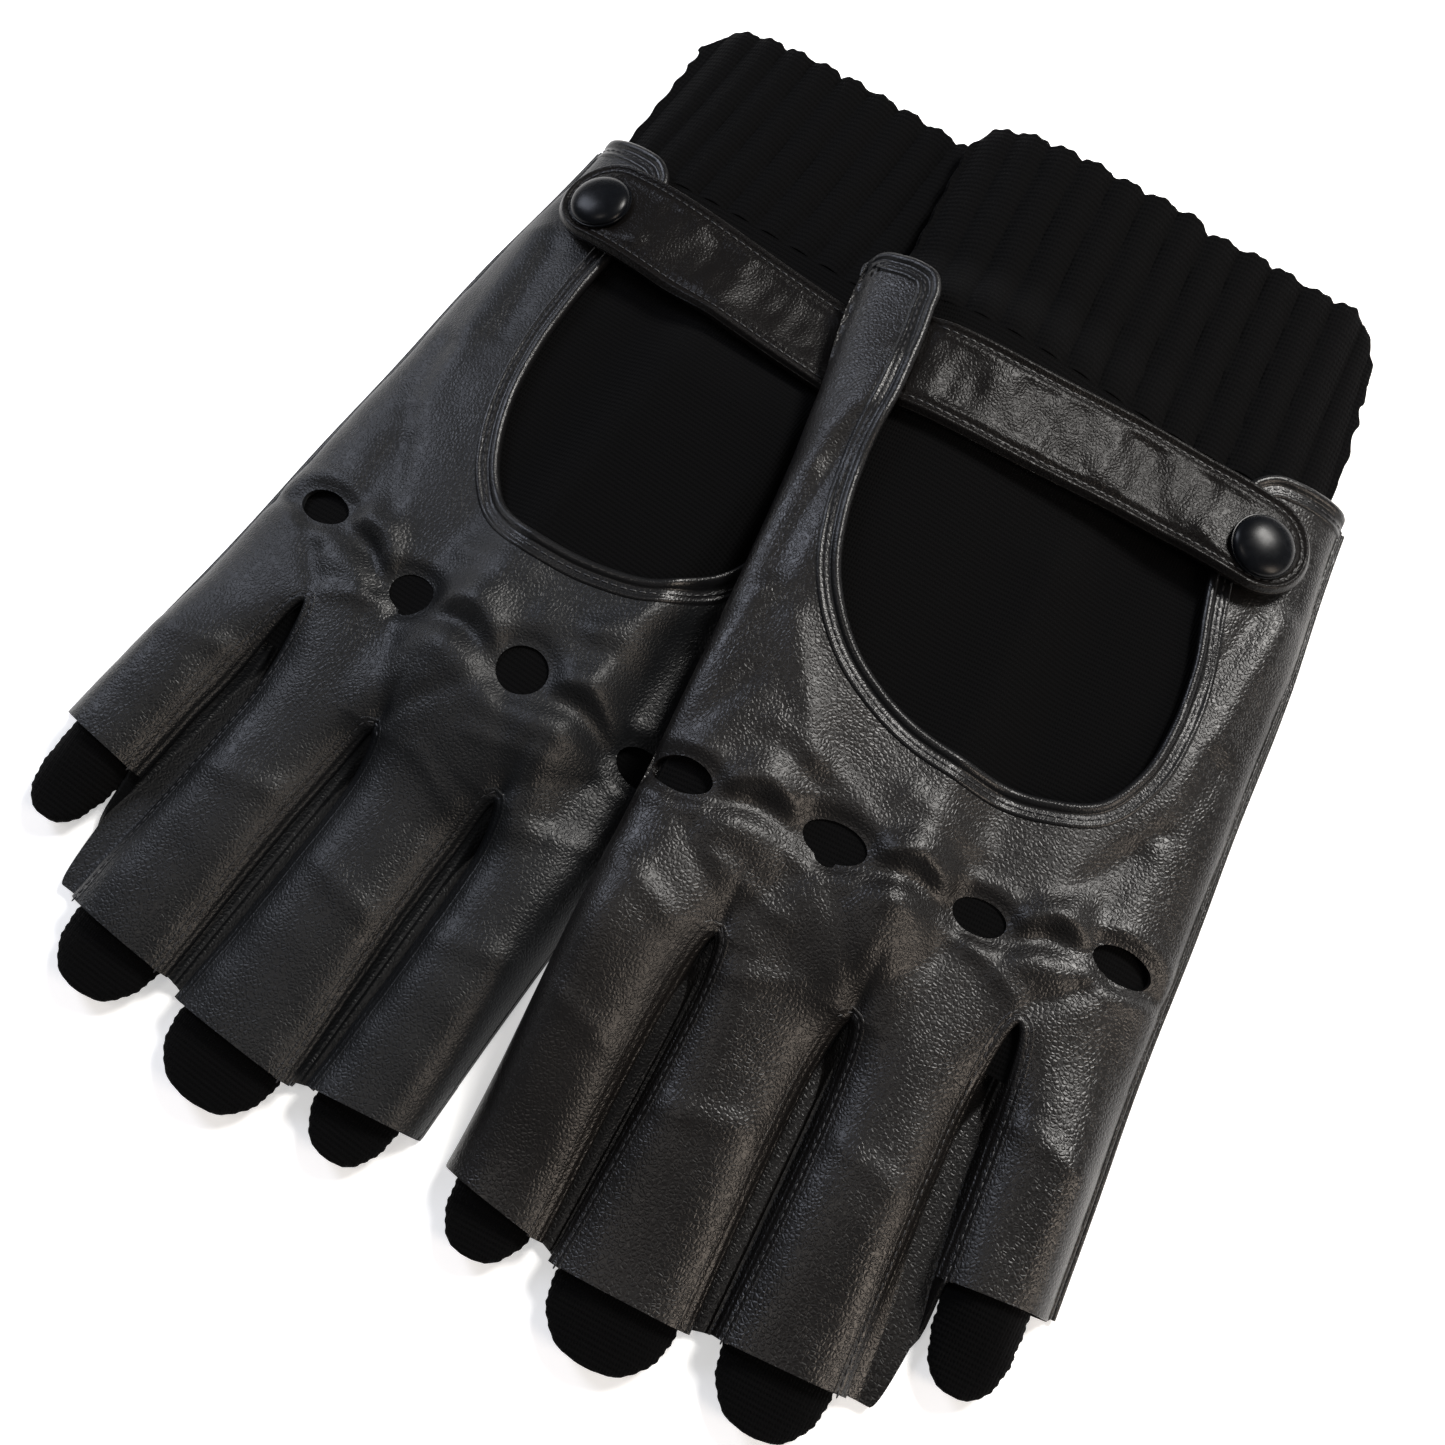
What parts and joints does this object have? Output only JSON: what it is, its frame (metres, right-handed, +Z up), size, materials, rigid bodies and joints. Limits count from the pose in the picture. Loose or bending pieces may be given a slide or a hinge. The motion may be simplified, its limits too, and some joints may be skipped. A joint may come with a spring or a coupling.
{
  "type": "leather driving gloves",
  "caption": "Fingerless leather driving gloves with snap strap, knuckle holes, cut-out back, knitted liner and ribbed cuff, lying palm down as a pair.",
  "frame": {"origin": "on the surface the gloves lie on, under the middle of the pair's bounding box", "axes": "+Z up, +Y along the gloves towards the ribbed cuffs, +X towards the left glove's little finger"},
  "size_m": [0.2024, 0.2431, 0.028],
  "materials": {
    "leather": "black dyed lambskin, fine grain with a soft sheen",
    "binding": "black lambskin, rolled and polished",
    "strap_lining": "black leather, matt",
    "knit": "black fine jersey knit, matt and slightly hairy",
    "rib_knit": "black ribbed knit, matt and slightly hairy",
    "snap_cap": "blue-black lacquer, glossy",
    "snap_metal": "blackened brass, satin"
  },
  "bodies": {
    "right_glove": {"right_palm_panel": "leather", "right_back_panel": "leather", "right_fourchette_index_middle": "leather", "right_fourchette_middle_ring": "leather", "right_fourchette_ring_little": "leather", "right_cutout_binding": "binding", "right_thumb_stall": "leather", "right_liner_thumb": "knit", "right_liner_hand": "knit", "right_liner_index": "knit", "right_liner_middle": "knit", "right_liner_ring": "knit", "right_liner_little": "knit", "right_rib_cuff": "rib_knit", "right_strap_root": "leather", "right_snap_stud": "snap_metal"},
    "right_strap": {"right_strap_lining": "strap_lining", "right_strap": "leather", "right_snap_cap": "snap_cap", "right_snap_socket": "snap_metal"},
    "left_glove": {"left_palm_panel": "leather", "left_back_panel": "leather", "left_fourchette_index_middle": "leather", "left_fourchette_middle_ring": "leather", "left_fourchette_ring_little": "leather", "left_cutout_binding": "binding", "left_thumb_stall": "leather", "left_liner_thumb": "knit", "left_liner_hand": "knit", "left_liner_index": "knit", "left_liner_middle": "knit", "left_liner_ring": "knit", "left_liner_little": "knit", "left_rib_cuff": "rib_knit", "left_strap_root": "leather", "left_snap_stud": "snap_metal"},
    "left_strap": {"left_strap_lining": "strap_lining", "left_strap": "leather", "left_snap_cap": "snap_cap", "left_snap_socket": "snap_metal"}
  },
  "joints": [
    {"name": "left_glove_lift", "type": "slide", "parent": "right_glove", "child": "left_glove", "axis": [0, 0, 1], "range_m": [0, 0.08]},
    {"name": "left_strap_hinge", "type": "hinge", "parent": "left_glove", "child": "left_strap", "pos_m": [0.00422, 0.05826, 0.0269], "axis": [0.0698, -0.9976, 0], "range_deg": [0, 105]},
    {"name": "right_strap_hinge", "type": "hinge", "parent": "right_glove", "child": "right_strap", "pos_m": [-0.02317, 0.06048, 0.0167], "axis": [0.0698, 0.9976, 0], "range_deg": [0, 88]}
  ]
}
